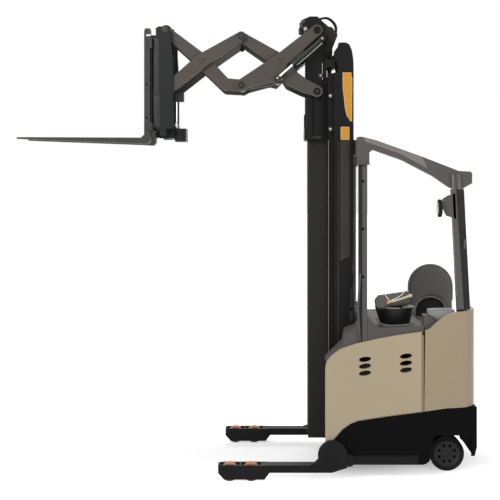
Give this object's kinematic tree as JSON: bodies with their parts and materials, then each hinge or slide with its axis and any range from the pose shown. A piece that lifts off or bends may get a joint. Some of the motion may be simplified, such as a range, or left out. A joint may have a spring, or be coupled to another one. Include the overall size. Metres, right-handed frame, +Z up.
{
  "type": "reach truck",
  "caption": "Stand-up narrow-aisle reach truck with straddle legs, telescoping mast and extended double-scissor reach carrying two forks at height.",
  "frame": {"origin": "on the floor below the centre of the whole truck's box, as pictured", "axes": "+Z up, forks point to -X, the truck's left side is at -Y"},
  "size_m": [3.448, 1.276, 3.448],
  "materials": {
    "beige_paint": "satin",
    "grey_cover": "matte",
    "black_skirt": "matte",
    "chassis_paint": "satin",
    "mast_paint": "satin",
    "arm_paint": "satin",
    "fork_steel": "satin",
    "guard_paint": "satin",
    "load_tyre": "matte",
    "drive_tyre": "matte",
    "cylinder_chrome": "polished",
    "barrel_paint": "satin",
    "pad": "matte",
    "console_plastic": "satin",
    "screen": "clear",
    "battery": "satin"
  },
  "bodies": {
    "chassis": {"chassis_frame": "chassis_paint", "drive_deck": "chassis_paint", "battery_block": "battery", "operator_floor": "chassis_paint", "bay_wall": "grey_cover", "leg_left": "chassis_paint", "leg_right": "chassis_paint", "front_panel_left": "beige_paint", "front_panel_right": "beige_paint", "skirt_left": "black_skirt", "skirt_right": "black_skirt", "rear_panel_left": "beige_paint", "rear_panel_right": "beige_paint", "top_cover": "grey_cover", "rear_bumper": "black_skirt", "bay_cover": "grey_cover", "console_bowl": "console_plastic", "steer_tiller": "console_plastic", "control_roll": "pad", "control_lever": "cylinder_chrome", "armrest_pad": "pad", "backrest": "pad", "backrest_bracket": "guard_paint", "guard_roof": "guard_paint", "front_post_left": "guard_paint", "front_post_right": "guard_paint", "rear_post": "guard_paint", "mirror": "guard_paint", "mast_screen": "screen", "outer_mast": "mast_paint", "lift_barrels": "barrel_paint"},
    "load_wheel_left_front": {"load_wheel_left_front": "load_tyre"},
    "load_wheel_left_rear": {"load_wheel_left_rear": "load_tyre"},
    "load_wheel_right_front": {"load_wheel_right_front": "load_tyre"},
    "load_wheel_right_rear": {"load_wheel_right_rear": "load_tyre"},
    "drive_unit": {"drive_head": "chassis_paint"},
    "drive_wheel": {"drive_wheel": "drive_tyre"},
    "caster": {"caster_fork": "chassis_paint"},
    "caster_wheel": {"caster_wheel": "drive_tyre"},
    "mast_middle": {"middle_mast": "mast_paint", "lift_rods": "cylinder_chrome"},
    "mast_inner": {"inner_mast": "mast_paint"},
    "free_lift": {"free_lift_rods": "mast_paint"},
    "reach_carriage": {"reach_carriage": "mast_paint"},
    "arm_rear_outer": {"arm_rear_outer": "arm_paint"},
    "arm_rear_inner": {"arm_rear_inner": "arm_paint"},
    "arm_front_inner": {"arm_front_inner": "arm_paint"},
    "arm_front_outer": {"arm_front_outer": "arm_paint"},
    "reach_barrels": {"reach_barrels": "barrel_paint"},
    "reach_rods": {"reach_rods": "cylinder_chrome"},
    "fork_carrier": {"fork_carrier": "mast_paint", "tilt_barrel": "barrel_paint", "valve_block": "barrel_paint", "hose_manifold": "barrel_paint"},
    "tilt_rod": {"tilt_rod": "cylinder_chrome"},
    "tilt_frame": {"tilt_frame": "mast_paint"},
    "fork_shift": {"shift_frame": "fork_steel", "fork_left": "fork_steel", "fork_right": "fork_steel"}
  },
  "joints": [
    {"name": "load_wheel_left_front_spin", "type": "hinge", "parent": "chassis", "child": "load_wheel_left_front", "pos_m": [-0.08, -0.5675, 0.065], "axis": [0, 1, 0], "continuous": true},
    {"name": "load_wheel_left_rear_spin", "type": "hinge", "parent": "chassis", "child": "load_wheel_left_rear", "pos_m": [0.076, -0.5675, 0.065], "axis": [0, 1, 0], "continuous": true},
    {"name": "load_wheel_right_front_spin", "type": "hinge", "parent": "chassis", "child": "load_wheel_right_front", "pos_m": [-0.08, 0.5675, 0.065], "axis": [0, 1, 0], "continuous": true},
    {"name": "load_wheel_right_rear_spin", "type": "hinge", "parent": "chassis", "child": "load_wheel_right_rear", "pos_m": [0.076, 0.5675, 0.065], "axis": [0, 1, 0], "continuous": true},
    {"name": "drive_steer", "type": "hinge", "parent": "chassis", "child": "drive_unit", "pos_m": [1.544, -0.27, 0.4], "axis": [0, 0, 1], "range_deg": [-90, 90]},
    {"name": "drive_wheel_spin", "type": "hinge", "parent": "drive_unit", "child": "drive_wheel", "pos_m": [1.544, -0.27, 0.13], "axis": [0, 1, 0], "continuous": true},
    {"name": "caster_swivel", "type": "hinge", "parent": "chassis", "child": "caster", "pos_m": [1.56, 0.37, 0.2], "axis": [0, 0, 1], "continuous": true},
    {"name": "caster_wheel_spin", "type": "hinge", "parent": "caster", "child": "caster_wheel", "pos_m": [1.61, 0.37, 0.09], "axis": [0, 1, 0], "continuous": true},
    {"name": "mast_middle_lift", "type": "slide", "parent": "chassis", "child": "mast_middle", "axis": [0, 0, 1], "range_m": [0, 2.3]},
    {"name": "mast_inner_lift", "type": "slide", "parent": "mast_middle", "child": "mast_inner", "axis": [0, 0, 1], "range_m": [0, 2.3]},
    {"name": "carriage_lift", "type": "slide", "parent": "mast_inner", "child": "reach_carriage", "axis": [0, 0, 1], "range_m": [-2.3, 0]},
    {"name": "free_lift_slide", "type": "slide", "parent": "mast_inner", "child": "free_lift", "axis": [0, 0, 1], "range_m": [-1.15, 0]},
    {"name": "reach", "type": "hinge", "parent": "reach_carriage", "child": "arm_rear_outer", "pos_m": [0.571, 0, 3.332], "axis": [0, -1, 0], "range_deg": [0, 44]},
    {"name": "rear_cross", "type": "hinge", "parent": "arm_rear_outer", "child": "arm_rear_inner", "pos_m": [0.29199, 0, 3.09995], "axis": [0, -1, 0], "range_deg": [-88, 0]},
    {"name": "lower_joint", "type": "hinge", "parent": "arm_rear_outer", "child": "arm_front_inner", "pos_m": [-0.00712, 0, 2.91304], "axis": [0, -1, 0], "range_deg": [-88, 0]},
    {"name": "front_cross", "type": "hinge", "parent": "arm_front_inner", "child": "arm_front_outer", "pos_m": [-0.30623, 0, 3.09995], "axis": [0, -1, 0], "range_deg": [0, 88]},
    {"name": "fork_carrier_pivot", "type": "hinge", "parent": "arm_front_inner", "child": "fork_carrier", "pos_m": [-0.58524, 0, 3.332], "axis": [0, -1, 0], "range_deg": [0, 44]},
    {"name": "reach_barrel_pivot", "type": "hinge", "parent": "reach_carriage", "child": "reach_barrels", "pos_m": [0.608, 0, 3.262], "axis": [0, -1, 0], "range_deg": [0, 50]},
    {"name": "reach_rod_slide", "type": "slide", "parent": "reach_barrels", "child": "reach_rods", "axis": [-0.75, 0, -0.6615], "range_m": [-0.06, 0]},
    {"name": "fork_tilt", "type": "hinge", "parent": "fork_carrier", "child": "tilt_frame", "pos_m": [-0.64, 0, 3.29], "axis": [0, 1, 0], "range_deg": [0, 3]},
    {"name": "tilt_rod_slide", "type": "slide", "parent": "fork_carrier", "child": "tilt_rod", "axis": [1, 0, 0], "range_m": [-0.04, 0]},
    {"name": "side_shift", "type": "slide", "parent": "tilt_frame", "child": "fork_shift", "axis": [0, 1, 0], "range_m": [-0.05, 0.05]}
  ],
  "couplings": [
    {"joint": "mast_inner_lift", "follows": "mast_middle_lift", "ratio": 1},
    {"joint": "free_lift_slide", "follows": "carriage_lift", "ratio": 0.5},
    {"joint": "rear_cross", "follows": "reach", "ratio": -2},
    {"joint": "lower_joint", "follows": "reach", "ratio": -2},
    {"joint": "front_cross", "follows": "reach", "ratio": 2},
    {"joint": "fork_carrier_pivot", "follows": "reach", "ratio": 1},
    {"joint": "reach_barrel_pivot", "follows": "reach", "ratio": 1.0993},
    {"joint": "reach_rod_slide", "follows": "reach", "m_per_rad": -0.0669},
    {"joint": "tilt_rod_slide", "follows": "fork_tilt", "m_per_rad": -0.7553}
  ]
}
